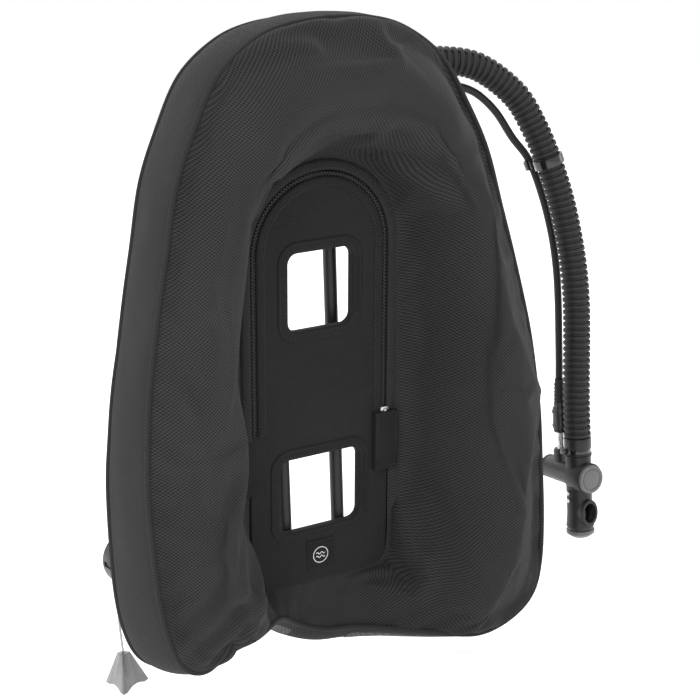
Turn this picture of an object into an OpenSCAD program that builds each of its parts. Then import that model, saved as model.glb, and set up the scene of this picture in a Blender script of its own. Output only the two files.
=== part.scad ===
// Single-tank buoyancy wing: padded horseshoe cell, zipped centre panel, tank slots,
// corrugated hose with power inflator, low-pressure hose and rear dump valve.
// Millimetres, +Z up, front (backplate side) faces -Y, tank side +Y.
// Origin: middle of the centre panel, halfway between the two tank-band slots.

/* [Wing] */
// overall width of the front seam
wing_w = 430; // [360:5:520]
// nominal seam height; the lobe bottoms hang a little lower than this
wing_h = 597; // [500:1:720]
// depth of the side gusset between the two seams
gusset_d = 70; // [50:1:100]
// how far the lobes swell forward of a flat front
lobe_bulge = 78; // [40:1:110]
// how far the lobes swell backward
rear_bulge = 20; // [8:1:40]
// cover cloth with its lining
cloth_t = 2; // [1.5:0.1:3]
// piping radius along both seams
pipe_r = 2.4; // [1.5:0.1:4]
// extra reach of the rear seam along the bottom
rear_flare = 14; // [0:1:25]

/* [Centre panel] */
// half width inside the zip teeth
panel_half = 66; // [55:1:85]
// lean of the panel, bottom towards the tank
panel_tilt = 7; // [0:0.5:9]
// how far the middle of the cell sits forward of the panel
panel_in = 12; // [0:1:16]
// tank-band slot spacing, centre to centre
slot_pitch = 204; // [180:1:240]
// upper slot width
slot_up_w = 70; // [55:1:80]
// lower slot width
slot_low_w = 88; // [55:1:90]
// slot height
slot_h = 76; // [50:1:90]
// slot corner radius
slot_r = 10; // [5:1:16]
// binding width on each face
bind_w = 11; // [6:1:14]

/* [Tank rails] */
// stabiliser tube radius
rail_r = 6.5; // [5:0.5:9]
// tube spacing, centre to centre
rail_gap = 60; // [50:1:90]
// tube length
rail_len = 340; // [300:5:400]
// tube centre behind the panel front at mid height
rail_y = 23.2; // [20:0.1:50]
// lean of the tubes, bottom towards the tank
rail_tilt = 3.5; // [0:0.5:6]

/* [Hoses] */
// corrugated hose outside radius
hose_r = 14.2; // [11:0.1:17]
// low-pressure hose outside radius
lp_r = 3.9; // [3:0.1:5.5]

/* [Inflator] */
// body radius
inf_r = 13.5; // [11:0.1:16]
// inflate button radius
btn_r = 15; // [10:0.1:16]
// inflate button travel
btn_travel = 3; // [2:0.1:4]
// deflate button travel
def_travel = 3.5; // [2:0.1:5]
// quick-disconnect sleeve travel
qd_travel = 4; // [2:0.1:6]

/* [Dump valve] */
// valve cap radius
dump_r = 26; // [20:0.5:32]
// valve plate travel
dump_travel = 4; // [2:0.1:6]
// knob height
knob_h = 33; // [22:1:45]
// knob base width
knob_w = 42; // [28:1:55]

/* [Hidden] */
$fn = 64;
e = 0.15;

half_w = wing_w/2;
front_y = -gusset_d*5/7;
rear_y = gusset_d*2/7;
zt = wing_h*0.59;
zb = wing_h*0.41;
panel_bot = -zb*0.8;
arc_z = zt*0.4;
cen_z = 20;
gap_half = panel_half+12;
garage_top = -32;
patch_bot = -88;
panel_back = 3;
tp = tan(panel_tilt);
ct = cos(panel_tilt);

// half outline as fractions of the half width and of the height above or below the origin
half_up = [[0, 1], [0.21, 0.99], [0.38, 0.955], [0.55, 0.875], [0.67, 0.75], [0.765, 0.62],
           [0.83, 0.46], [0.89, 0.31], [0.955, 0.12]];
dn_right = [[0.985, -0.04], [1, -0.2], [1, -0.42], [0.995, -0.65], [0.975, -0.83], [0.925, -0.955],
            [0.82, -1.03], [0.66, -1.07], [0.47, -1.06], [0.29, -1.05], [0.14, -1.04], [0, -1.02]];
// the left lobe ends a little higher, drawn up by its own folds
dn_left = [[0.985, -0.04], [1, -0.2], [0.998, -0.42], [0.985, -0.62], [0.955, -0.76], [0.9, -0.865],
           [0.8, -0.9], [0.66, -0.845], [0.47, -0.835], [0.29, -0.88], [0.14, -0.965]];
right_pts = concat([for (p = half_up) [p[0]*half_w, p[1]*zt]], [for (p = dn_right) [p[0]*half_w, p[1]*zb]]);
left_pts = concat([for (i = [len(dn_left)-1:-1:0]) [-dn_left[i][0]*half_w, dn_left[i][1]*zb]],
                  [for (i = [len(half_up)-1:-1:1]) [-half_up[i][0]*half_w, half_up[i][1]*zt]]);
ctrl = concat(right_pts, left_pts);
nc = len(ctrl);
sub = 2;
ns = nc*sub;
function cr(a, b, c, d, t) = 0.5*((2*b)+(c-a)*t+(2*a-5*b+4*c-d)*t*t+(3*b-a-3*c+d)*t*t*t);
outline = [for (i = [0:nc-1]) for (k = [0:sub-1])
    cr(ctrl[(i+nc-1)%nc], ctrl[i], ctrl[(i+1)%nc], ctrl[(i+2)%nc], k/sub)];
function unit2(v) = v/norm(v);
function out_n(i) = let (t = outline[(i+1)%ns]-outline[(i+ns-1)%ns]) unit2([-t[1], t[0]]);
function rear_add(z) = rear_flare*min(1, max(0, (zt*0.2-z)/(zt*0.2+zb*0.8)));
function rear_pt(i) = outline[i]+out_n(i)*rear_add(outline[i][1]);
normals = [for (i = [0:ns-1]) out_n(i)];
// both seams run back to the panel under the middle of the cell
dip_y = panel_in+tp*zb*0.94-7;
dip_d = 18;
function dip(p) = let (t = min(1, max(0, (0.6-abs(p[0])/half_w)/0.5))) p[1] < -zb*0.5 ? t*t*(3-2*t) : 0;
function fy(i) = front_y+(dip_y-front_y)*dip(outline[i]);
function ry(i) = rear_y+(dip_y+dip_d-rear_y)*dip(outline[i]);
rear_line = [for (i = [0:ns-1]) rear_pt(i)];

// inner edge of the padded ring: an inverted U around the zipped panel
function inner_r(c, s, h, zlow) =
    let (ts = h/max(abs(c), 0.0001), z1 = cen_z+s*ts, u = arc_z-cen_z)
    s > 0 && z1 > arc_z ? u*s+sqrt(max(0, u*s*u*s-u*u+h*h))
    : s < 0 && z1 < zlow ? (cen_z-zlow)/(-s) : ts;
function dir2(p) = unit2([p[0], p[1]-cen_z]);
function inner_pt(i, h, zlow) =
    let (d = dir2(outline[i]), p = [0, cen_z]+d*inner_r(d[0], d[1], h, zlow)) [p[0], p[1]*ct];
inner_line = [for (i = [0:ns-1]) inner_pt(i, gap_half, panel_bot)];
function seam_in(p, i) = p-normals[i]*(pipe_r+1.35);
function swell(s) = pow(sin(180*pow(s, 0.85)), 0.9);
function fullness(i) = (1-dip(outline[i]))*min(1, norm(outline[i]-inner_line[i])/(half_w*0.64));
flat_s = 0.09;
function ramp(s) = max(0, (s-flat_s)/(1-flat_s));
function mixp(i, o, s) = inner_line[i]*(1-s)+seam_in(o[i], i)*s;
function at(p, y) = [p[0], y, p[1]];
function front_face(i, s) = let (r = ramp(s), z = mixp(i, outline, s)[1])
    (panel_in-cloth_t-tp*z)*(1-r)+fy(i)*r-lobe_bulge*fullness(i)*swell(r);
function rear_face(i, s) = let (r = ramp(s), z = mixp(i, rear_line, s)[1], y0 = panel_in+panel_back+2*cloth_t+e)
    y0*(1-r)-tp*z*(1-r)*(1-r)+ry(i)*r+rear_bulge*fullness(i)*swell(r);

cover_s = [0, 0.09, 0.15, 0.27, 0.42, 0.6, 0.78, 0.9, 1];
nk = len(cover_s);
front_secs = [for (i = [0:ns-1]) concat(
    [for (s = cover_s) at(mixp(i, outline, s), front_face(i, s))],
    [for (k = [nk-1:-1:0]) at(mixp(i, outline, cover_s[k]), front_face(i, cover_s[k])+cloth_t)])];
rear_secs = [for (i = [0:ns-1]) concat(
    [for (s = cover_s) at(mixp(i, rear_line, s), rear_face(i, s)-cloth_t)],
    [for (k = [nk-1:-1:0]) at(mixp(i, rear_line, cover_s[k]), rear_face(i, cover_s[k]))])];
blad_s = [0.15, 0.27, 0.42, 0.6, 0.78, 0.9];
blad_gap = cloth_t+1;
blad_secs = [for (i = [0:ns-1]) concat(
    [for (s = blad_s) at(mixp(i, outline, s), front_face(i, s)+blad_gap)],
    [for (k = [5:-1:0]) at(mixp(i, rear_line, blad_s[k]), rear_face(i, blad_s[k])-blad_gap)])];
gus_t = [0, 0.25, 0.5, 0.75, 1];
function gus_y(i, t) = (fy(i)+pipe_r+e)*(1-t)+(ry(i)-pipe_r-e)*t;
function gus_pt(i, t, o) = outline[i]*(1-t)+rear_line[i]*t+normals[i]*(4*sin(180*t)+o);
gus_secs = [for (i = [0:ns-1]) concat(
    [for (t = gus_t) at(gus_pt(i, t, 0), gus_y(i, t))],
    [for (k = [4:-1:0]) at(gus_pt(i, gus_t[k], -cloth_t), gus_y(i, gus_t[k]))])];
function pipe_sec(i, line, y) = [for (a = [0:60:300])
    let (c = line[i]-normals[i]*1.2) [c[0]+normals[i][0]*pipe_r*cos(a), y+pipe_r*sin(a), c[1]+normals[i][1]*pipe_r*cos(a)]];
front_pipe = [for (i = [0:ns-1]) pipe_sec(i, outline, fy(i))];
rear_pipe = [for (i = [0:ns-1]) pipe_sec(i, rear_line, ry(i))];
mesh_t = [0.25, 0.5, 0.75];
function mesh_sec(i) = concat(
    [for (t = mesh_t) at(gus_pt(i, t, 1.1), gus_y(i, t))],
    [for (k = [2:-1:0]) at(gus_pt(i, mesh_t[k], 0.25), gus_y(i, mesh_t[k]))]);
mesh_first = (len(half_up)+6)*sub;
mesh_last = mesh_first+4*sub;

// hose routes
hose_x = half_w+87;
inf_top = -102;
hose_pts = [[100.3, 60, 292], [112, 60, 292], [128, 59, 294], [148, 54, 298], [174, 45, 299],
            [215, 32, 290], [251, 20, 260], [270, 14, 226], [283, 9, 190], [294, 6, 152], [301, 3, 112],
            [305, 1, 75], [306, 0, 40], [305, 0, 0], [303, 0, -40], [hose_x, 0, -70], [hose_x, 0, inf_top]];
lp_pts = [[-30, 45, 250], [-8, 45, 253], [20, 45, 255], [50, 45, 256], [85, 45, 259], [120, 46, 268],
          [150, 46, 276], [180, 42, 275], [212, 38, 266], [236, 34, 245], [258, 35, 215], [276, 32, 190],
          [289, 29, 152], [297, 26, 112], [301, 25, 75], [302, 25, 40], [302, 26, 0], [302, 27, -28],
          [hose_x, 28, -44]];

function spline(p, m) = let (n = len(p)) concat([for (i = [0:n-2]) for (k = [0:m-1])
    cr(p[max(0, i-1)], p[i], p[i+1], p[min(n-1, i+2)], k/m)], [p[n-1]]);
function unit3(v) = v/norm(v);
function frame_u(t) = unit3(cross(t, abs(t[1]) > 0.9 ? [1, 0, 0] : [0, 1, 0]));
function tube_secs(path, r, sides, tw = 0) = let (n = len(path)) [for (i = [0:n-1])
    let (t = i == n-1 && tw == 1 ? [0, 0, -1] : unit3(path[min(n-1, i+1)]-path[max(0, i-1)]),
         u = frame_u(t), v = cross(u, t))
    [for (k = [0:sides-1]) path[i]+r*(cos(360*k/sides)*u+sin(360*k/sides)*v)]];

module ring_solid(secs, other = 0) {
    n = len(secs);
    k = len(secs[0]);
    polyhedron(points = [for (s = secs) for (p = s) p],
        faces = [for (i = [0:n-1]) for (j = [0:k-1]) for (h = [0, 1])
            let (a = i*k+j, b = i*k+(j+1)%k, c = ((i+1)%n)*k+(j+1)%k, d = ((i+1)%n)*k+j)
            other == 0 ? (h == 0 ? [a, c, b] : [a, d, c]) : (h == 0 ? [a, d, b] : [b, d, c])], convexity = 8);
}
module strip_solid(secs, other = 0) {
    n = len(secs);
    k = len(secs[0]);
    polyhedron(points = [for (s = secs) for (p = s) p],
        faces = concat([for (i = [0:n-2]) for (j = [0:k-1]) for (h = [0, 1])
            let (a = i*k+j, b = i*k+(j+1)%k, c = (i+1)*k+(j+1)%k, d = (i+1)*k+j)
            other == 0 ? (h == 0 ? [a, c, b] : [a, d, c]) : (h == 0 ? [a, d, b] : [b, d, c])],
            [for (j = [1:k-2]) [0, j, j+1]],
            [for (j = [1:k-2]) [(n-1)*k, (n-1)*k+j+1, (n-1)*k+j]]), convexity = 8);
}
// flat shapes are drawn in X and Z, then given depth from y0 back to y1
module flat(y0, y1) {
    translate([0, y1, 0])
        rotate([90, 0, 0])
            linear_extrude(height = y1-y0)
                children();
}
module rrect(w, h, r) {
    square([w-2*r, h], center = true);
    square([w, h-2*r], center = true);
    for (sx = [-1, 1], sz = [-1, 1])
        translate([sx*(w/2-r), sz*(h/2-r)])
            circle(r = r);
}
module arch(h, zlow) {
    translate([-h, zlow])
        square([2*h, arc_z-zlow]);
    translate([0, arc_z])
        circle(r = h, $fn = 96);
}
// lower end of a panel: straight sides, corners cut at 45 degrees
module panel_foot(h, ztop, cut)
    polygon([[-h, ztop], [-h, panel_bot+cut], [-h+cut, panel_bot+1], [h-cut, panel_bot+1],
             [h, panel_bot+cut], [h, ztop]]);
module ycyl(r, y0, y1) {
    translate([0, y1, 0])
        rotate([90, 0, 0])
            cylinder(r = r, h = y1-y0);
}

module front_cover() color([0.2, 0.2, 0.21]) ring_solid(front_secs);
module rear_cover() color([0.18, 0.18, 0.19]) ring_solid(rear_secs);
module side_gusset() color([0.19, 0.19, 0.2]) ring_solid([for (s = gus_secs) [for (k = [len(s)-1:-1:0]) s[k]]]);
module front_piping() color([0.14, 0.14, 0.15]) ring_solid(front_pipe);
module rear_piping() color([0.14, 0.14, 0.15]) ring_solid(rear_pipe);
module air_bladder() color([0.75, 0.35, 0.15]) ring_solid(blad_secs, 1);

module tilted() rotate([panel_tilt, 0, 0]) children();
module slot_holes(grow) {
    translate([0, slot_pitch/2])
        rrect(slot_up_w+2*grow, slot_h+2*grow, slot_r+grow);
    translate([0, -slot_pitch/2])
        rrect(slot_low_w+2*grow, slot_h+2*grow, slot_r+grow);
}
module centre_panel() color([0.2, 0.2, 0.21]) tilted()
    flat(-cloth_t, 0)
        difference() {
            union() {
                arch(panel_half, patch_bot-10);
                panel_foot(gap_half-0.8, patch_bot, 30);
            }
            slot_holes(1.5);
        }
module rear_panel() color([0.17, 0.17, 0.18]) tilted()
    flat(panel_back, panel_back+cloth_t)
        difference() {
            union() {
                arch(gap_half+5, patch_bot-10);
                panel_foot(gap_half+5, patch_bot, 50);
            }
            slot_holes(1.5);
        }
module slot_binding(w) {
    difference() {
        union() {
            flat(-cloth_t-1.2, -cloth_t)
                rrect(w+2*bind_w, slot_h+2*bind_w, slot_r+bind_w*0.7);
            flat(-cloth_t-1.2, panel_back+cloth_t+1.2)
                rrect(w+2.8, slot_h+2.8, slot_r+1.4);
            flat(panel_back+cloth_t, panel_back+cloth_t+1.2)
                rrect(w+2*bind_w, slot_h+2*bind_w, slot_r+bind_w*0.7);
        }
        flat(-20, 20)
            rrect(w, slot_h, slot_r);
    }
}
module slot_binding_upper() color([0.13, 0.13, 0.14]) tilted() translate([0, 0, slot_pitch/2]) slot_binding(slot_up_w);
module slot_binding_lower() color([0.13, 0.13, 0.14]) tilted() translate([0, 0, -slot_pitch/2]) slot_binding(slot_low_w);

zip_mid = (panel_half+gap_half)/2;
module zip_tape() color([0.12, 0.12, 0.13]) tilted()
    flat(0, 0.8)
        difference() {
            arch(zip_mid+12, patch_bot+10);
            arch(zip_mid-12, patch_bot);
        }
module zip_teeth() color([0.1, 0.1, 0.1]) tilted()
    flat(-cloth_t-0.2, 0)
        difference() {
            arch(zip_mid+3, garage_top-6);
            arch(zip_mid-3, garage_top-16);
        }
module zip_slider() color([0.55, 0.55, 0.57]) tilted()
    translate([zip_mid, 0, garage_top+1]) {
        translate([-4.6, -5.2, -10])
            cube([9.2, 2.8, 13]);
        for (sx = [-1, 1])
            translate([sx*3.95-0.65, -2.5, -10])
                cube([1.3, 2.3, 13]);
        translate([-1.5, -7, -6])
            cube([3, 1.9, 7]);
        translate([-3, -7, -32])
            cube([6, 1.4, 27]);
    }
module zip_garage() color([0.17, 0.17, 0.18]) tilted()
    translate([zip_mid, 0, 0]) {
        difference() {
            translate([-13, -9.4, patch_bot-4])
                cube([26, 7.2, garage_top-patch_bot+4]);
            translate([-7.5, -8.2, patch_bot+6])
                cube([15, 9, garage_top-patch_bot]);
        }
        translate([-13, -cloth_t-0.3, patch_bot-4])
            cube([26, 0.3, 8]);
    }
module zip_start_patch() color([0.17, 0.17, 0.18]) tilted()
    translate([-zip_mid-13, -cloth_t-1.4, patch_bot-4])
        cube([26, 1.2, garage_top-patch_bot+4]);
module maker_label() color([0.08, 0.08, 0.09]) tilted()
    translate([-16, -cloth_t-1, panel_bot+11])
        cube([32, 1, 31]);
module drain_mesh() color([0.3, 0.3, 0.31]) {
    for (first = [mesh_first, ns-mesh_last])
        strip_solid([for (i = [first:first+4*sub]) let (s = mesh_sec(i)) [for (k = [5:-1:0]) s[k]]], 1);
}

rail_mid = 5;
module on_rail(sx) translate([sx*rail_gap/2, rail_y, 0]) rotate([rail_tilt, 0, 0]) translate([0, 0, rail_mid]) children();
module stabiliser_rails() color([0.09, 0.09, 0.1])
    for (sx = [-1, 1])
        on_rail(sx)
            difference() {
                cylinder(r = rail_r, h = rail_len, center = true);
                cylinder(r = rail_r-1.6, h = rail_len+2, center = true);
            }
module rail_end_caps() color([0.07, 0.07, 0.07])
    for (sx = [-1, 1], sz = [-1, 1])
        on_rail(sx)
            translate([0, 0, sz*(rail_len/2+1)]) {
                cylinder(r = rail_r+0.6, h = 2, center = true);
                translate([0, 0, -sz*7])
                    cylinder(r = rail_r-1.6, h = 12, center = true);
            }
function rail_y_at(z) = rail_y-tan(rail_tilt)*z;
function back_y(z) = (panel_back+cloth_t)/ct-tp*z;
module rail_sleeve_one(z0, z1) {
    for (sx = [-1, 1]) {
        difference() {
            union() {
                on_rail(sx)
                    translate([0, 0, z0-rail_mid])
                        cylinder(r = rail_r+1.2, h = z1-z0);
                if (rail_y_at(z0)-back_y(z0) > 4)
                    translate([sx*rail_gap/2-2.5, back_y(z0)+0.8, z0+2])
                        cube([5, rail_y_at(z1)-back_y(z0)-3, z1-z0-4]);
                tilted()
                    translate([sx*rail_gap/2-10, panel_back+cloth_t, z0/ct])
                        cube([20, 1.6, z1-z0]);
            }
            on_rail(sx)
                cylinder(r = rail_r, h = rail_len+50, center = true);
        }
    }
}
module rail_sleeves() color([0.14, 0.14, 0.15]) {
    rail_sleeve_one(-164, -154);
    rail_sleeve_one(-30, -8);
    rail_sleeve_one(153, 174);
}

// shoulder elbow on the tank side of the cell, near the top
elb = [66, 0, 292];
elb_y = 33;
elb_b = 60;
module elbow_flange() color([0.1, 0.1, 0.1])
    translate(elb) {
        difference() {
            union() {
                ycyl(27, elb_y-6, elb_y);
                ycyl(19, elb_y-16, elb_y+9);
            }
            ycyl(11, elb_y-20, elb_y+12);
        }
    }
module elbow_gasket() color([0.25, 0.25, 0.26])
    translate(elb)
        difference() {
            ycyl(24, elb_y, elb_y+1.6);
            ycyl(19, elb_y-1, elb_y+3);
        }
module elbow_nut() color([0.12, 0.12, 0.12])
    translate(elb)
        difference() {
            union() {
                ycyl(25, elb_y+1.6, elb_y+9);
                for (a = [0:30:330])
                    rotate([0, a, 0])
                        translate([23.6, elb_y+1.6, -2])
                            cube([3, 7.4, 4]);
            }
            ycyl(19, elb_y, elb_y+10);
        }
module hose_elbow() color([0.1, 0.1, 0.1])
    difference() {
        union() {
            translate(elb)
                ycyl(18, elb_y+9, elb_b+14);
            translate(elb)
                ycyl(14, elb_b+14, elb_b+17);
            translate([elb[0], elb_b, elb[2]])
                rotate([0, 90, 0])
                    cylinder(r = 13, h = 33.8);
            translate([elb[0], elb_b, elb[2]])
                rotate([0, 90, 0])
                    cylinder(r = 15, h = 21);
        }
        translate(elb)
            ycyl(11, elb_y, elb_b+10);
        translate([elb[0], elb_b, elb[2]])
            rotate([0, 90, 0])
                cylinder(r = 9, h = 40);
    }

hose_path = spline(hose_pts, 2);
lp_path = spline(lp_pts, 2);
module corrugated_hose() color([0.12, 0.12, 0.12]) strip_solid(tube_secs(hose_path, hose_r, 12, 1));
module lp_hose() color([0.08, 0.08, 0.08]) strip_solid(tube_secs(lp_path, lp_r, 8, 1));
module hose_ties() color([0.06, 0.06, 0.06])
    for (x = [88.5, 94.5])
        translate([x, elb_b, elb[2]])
            rotate([0, 90, 0])
                difference() {
                    union() {
                        cylinder(r = 14.6, h = 4);
                        translate([-18, -3.5, 0])
                            cube([6, 7, 4]);
                    }
                    translate([0, 0, -1])
                        cylinder(r = 13.03, h = 6);
                }
module hose_band() color([0.03, 0.03, 0.03])
    translate([283, 9, 190])
        rotate([-6, -17, 0])
            difference() {
                union() {
                    cylinder(r = hose_r+1.7, h = 9, center = true);
                    translate([-7, 23, 0])
                        cylinder(r = lp_r+2.4, h = 9, center = true);
                    translate([-8, 13, -4.5])
                        cube([6, 6.5, 9]);
                }
                cylinder(r = hose_r+0.3, h = 12, center = true);
                translate([-7, 23, 0])
                    cylinder(r = lp_r+0.9, h = 12, center = true);
            }

// inflator, centred on the lower end of the hose
lp_y = 28;
btn_z = inf_top-42;
module on_inf(z = 0) translate([hose_x, 0, z]) children();
module inflator_collar() color([0.1, 0.1, 0.1])
    on_inf(inf_top-12)
        difference() {
            cylinder(r = 14.2, h = 12);
            translate([0, 0, -1])
                cylinder(r = 9, h = 14);
        }
module collar_band() color([0.05, 0.05, 0.05])
    on_inf(inf_top-16.5) {
        difference() {
            cylinder(r = 13.6, h = 4.5);
            translate([0, 0, -1])
                cylinder(r = 9, h = 6);
        }
        translate([-17.5, 2, 0])
            cube([5, 6, 4.5]);
    }
module collar_rings() color([0.1, 0.1, 0.1])
    on_inf(inf_top-20)
        difference() {
            union() {
                cylinder(r = 14.4, h = 1.4);
                cylinder(r = 13, h = 3.5);
                translate([0, 0, 2.1])
                    cylinder(r = 14.4, h = 1.4);
            }
            translate([0, 0, -1])
                cylinder(r = 9, h = 6);
        }
body_bot = inf_top-97;
mouth_z = inf_top-80;
module inflator_body() color([0.1, 0.1, 0.1])
    difference() {
        union() {
            on_inf(body_bot)
                cylinder(r = inf_r, h = inf_top-20-body_bot);
            on_inf(body_bot)
                cylinder(r1 = inf_r+1.3, r2 = inf_r, h = 14);
            on_inf(btn_z)
                ycyl(btn_r+1.5, -18, 4);
            on_inf(btn_z)
                ycyl(12.5, 0, 46);
            translate([hose_x-4.5, 8, btn_z-12])
                cube([9, 28, 34]);
            translate([hose_x, lp_y, btn_z])
                cylinder(r = 7.5, h = 24);
            on_inf(mouth_z)
                scale([0.72, 1, 1])
                    ycyl(14.5, -15, 0);
        }
        on_inf(btn_z)
            ycyl(btn_r+0.06, -19, -9.5);
        on_inf(btn_z)
            ycyl(4.05, -12, 30);
        translate([hose_x, 0, btn_z+13])
            cylinder(r = 9, h = 40);
        translate([hose_x, 0, body_bot-1])
            cylinder(r = 9.05, h = 31);
        on_inf(mouth_z)
            scale([0.72, 1, 1])
                ycyl(10.5, -16, 0);
        translate([hose_x, lp_y, btn_z+6])
            cylinder(r = 4.5, h = 30);
        on_inf(btn_z)
            ycyl(9, 42, 47);
    }
module nipple() color([0.7, 0.7, 0.72])
    translate([hose_x, lp_y, 0]) {
        translate([0, 0, btn_z+6])
            cylinder(r = 4.5, h = 21);
        translate([0, 0, btn_z+27])
            cylinder(r = 3.6, h = 15);
        translate([0, 0, btn_z+33])
            cylinder(r = 4.2, h = 3);
    }
module valve_cap() color([0.07, 0.07, 0.07])
    on_inf(btn_z) {
        ycyl(9, 42, 46);
        intersection() {
            translate([0, 41, 0])
                sphere(r = 15.6);
            ycyl(12.5, 46, 60);
        }
    }
module inflate_button() color([0.45, 0.45, 0.46])
    on_inf(btn_z) {
        difference() {
            ycyl(btn_r, -21.5, -13);
            difference() {
                ycyl(11.6, -23, -20.7);
                ycyl(10.4, -24, -20);
            }
        }
        ycyl(4, -13, 18);
    }
module body_screws() color([0.5, 0.5, 0.5])
    for (z = [inf_top-59, inf_top-67])
        translate([hose_x-inf_r-2.5, 0, z])
            rotate([0, 90, 0])
                cylinder(r = 2.3, h = 2.5);
module mouthpiece() color([0.12, 0.12, 0.12])
    on_inf(mouth_z)
        difference() {
            scale([0.72, 1, 1])
                ycyl(14.5, -17.5, -15);
            scale([0.72, 1, 1])
                ycyl(10.5, -18, -14);
        }
module deflate_button() color([0.45, 0.45, 0.46]) {
    on_inf(body_bot-7.5)
        cylinder(r = 15, h = 3.5);
    on_inf(body_bot-7.5)
        cylinder(r = 9, h = 12);
    on_inf(0)
        intersection() {
            translate([0, 0, body_bot+6])
                sphere(r = 20);
            translate([0, 0, body_bot-12])
                cylinder(r = 15, h = 4.5);
        }
}
module deflate_spring() color([0.6, 0.6, 0.6])
    on_inf(body_bot+4.5)
        difference() {
            cylinder(r = 7.4, h = 12);
            translate([0, 0, -1])
                cylinder(r = 6, h = 14);
        }

// low-pressure supply: socket and sleeve above the nipple, then the boot and the hose
module lp_socket() color([0.6, 0.6, 0.62])
    translate([hose_x, lp_y, 0])
        difference() {
            union() {
                translate([0, 0, inf_top+1])
                    cylinder(r = 6.5, h = 32);
                translate([0, 0, inf_top+0.5])
                    cylinder(r = 7.4, h = 2.5);
            }
            translate([0, 0, inf_top-1])
                cylinder(r = 3.7, h = 12);
        }
module qd_sleeve() color([0.25, 0.25, 0.26])
    translate([hose_x, lp_y, inf_top+4])
        difference() {
            union() {
                cylinder(r = 8, h = 23);
                for (z = [2, 17])
                    translate([0, 0, z])
                        cylinder(r = 8.8, h = 3);
            }
            translate([0, 0, -1])
                cylinder(r = 6.55, h = 26);
        }
module lp_strain_relief() color([0.07, 0.07, 0.07])
    translate([hose_x, lp_y, inf_top+33]) {
        difference() {
            union() {
                cylinder(r1 = 6, r2 = 4.6, h = 25);
                for (z = [2:4:18])
                    translate([0, 0, z])
                        cylinder(r = 6.2-z*0.04, h = 2);
            }
            translate([0, 0, 20])
                cylinder(r = lp_r+0.1, h = 6);
        }
    }
module lp_end_fitting() color([0.65, 0.65, 0.67])
    translate([-30.4, 45, 249.9])
        rotate([0, -101, 0]) {
            cylinder(r = 6, h = 9);
            translate([0, 0, 9])
                cylinder(r = 7.2, h = 7, $fn = 6);
            translate([0, 0, 16])
                cylinder(r = 4.7, h = 9);
        }

// dump valve low on the tank side, with its cord and knob
dv = [-(half_w-30), 0, -140];
dv_y = 44;
module dump_base() color([0.1, 0.1, 0.1])
    translate(dv)
        difference() {
            union() {
                ycyl(27, dv_y-8, dv_y-2);
                ycyl(19.9, dv_y-10, dv_y+20);
            }
            ycyl(10, dv_y-16, dv_y);
            ycyl(16.5, dv_y-1, dv_y+22);
        }
module dump_gasket() color([0.3, 0.3, 0.31])
    translate(dv)
        difference() {
            ycyl(24, dv_y-2, dv_y);
            ycyl(20, dv_y-3, dv_y+1);
        }
module dump_valve_plate() color([0.6, 0.3, 0.15])
    translate(dv) {
        ycyl(15.5, dv_y-1, dv_y+2);
        ycyl(2.5, dv_y+2, dv_y+13);
    }
module dump_spring() color([0.6, 0.6, 0.6])
    translate(dv)
        difference() {
            ycyl(10, dv_y+2, dv_y+20);
            ycyl(8.6, dv_y+1, dv_y+21);
        }
module dump_cap() color([0.1, 0.1, 0.1])
    translate(dv)
        difference() {
            union() {
                ycyl(dump_r, dv_y, dv_y+30);
                ycyl(dump_r-4, dv_y+30, dv_y+33);
            }
            ycyl(20, dv_y-1, dv_y+20);
            ycyl(8, dv_y+19, dv_y+27);
            for (a = [0:45:315])
                rotate([0, a, 0])
                    translate([dump_r-1.6, dv_y+6, -2.5])
                        cube([4, 20, 5]);
            translate([-16, dv_y+25, -dump_r-6])
                cylinder(r = 1.9, h = 20);
        }
cord_x = dv[0]-16;
cord_y = dv_y+25;
cord_bot = -232;
cord_pts = [[cord_x, cord_y, -158], [cord_x-1, cord_y, -180], [cord_x-1, cord_y, -205], [cord_x, cord_y, cord_bot]];
module dump_cord() color([0.8, 0.8, 0.78]) strip_solid(tube_secs(spline(cord_pts, 3), 1.1, 8));
module dump_knob() color([0.65, 0.65, 0.64])
    translate([cord_x, cord_y, cord_bot-knob_h])
        difference() {
            union() {
                cylinder(r1 = knob_w*0.57, r2 = knob_w*0.16, h = knob_h, $fn = 3);
                translate([0, 0, knob_h-6])
                    cylinder(r = 4.6, h = 6.5);
            }
            translate([0, 0, -knob_w*0.75])
                sphere(r = knob_w*0.86);
            translate([0, 0, knob_h-1])
                cylinder(r = 1.3, h = 3);
        }

// the cell and all it carries, forward of the panel
module cell_part() translate([0, -panel_in, 0]) children();

cell_part() front_cover();
cell_part() rear_cover();
cell_part() side_gusset();
cell_part() front_piping();
cell_part() rear_piping();
cell_part() air_bladder();
centre_panel();
rear_panel();
slot_binding_upper();
slot_binding_lower();
zip_tape();
zip_teeth();
zip_slider();
zip_garage();
zip_start_patch();
maker_label();
cell_part() drain_mesh();
stabiliser_rails();
rail_sleeves();
rail_end_caps();
cell_part() elbow_flange();
cell_part() elbow_gasket();
cell_part() elbow_nut();
cell_part() hose_elbow();
cell_part() hose_ties();
cell_part() corrugated_hose();
cell_part() hose_band();
cell_part() lp_hose();
cell_part() lp_strain_relief();
cell_part() lp_socket();
cell_part() qd_sleeve();
cell_part() lp_end_fitting();
cell_part() inflator_collar();
cell_part() collar_band();
cell_part() collar_rings();
cell_part() inflator_body();
cell_part() nipple();
cell_part() inflate_button();
cell_part() valve_cap();
cell_part() body_screws();
cell_part() mouthpiece();
cell_part() deflate_button();
cell_part() deflate_spring();
cell_part() dump_base();
cell_part() dump_gasket();
cell_part() dump_valve_plate();
cell_part() dump_spring();
cell_part() dump_cap();
cell_part() dump_cord();
cell_part() dump_knob();
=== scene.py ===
from math import sin, cos, tan, pi, radians, sqrt
import bpy, bmesh
from mathutils import Vector, Matrix, noise


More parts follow.
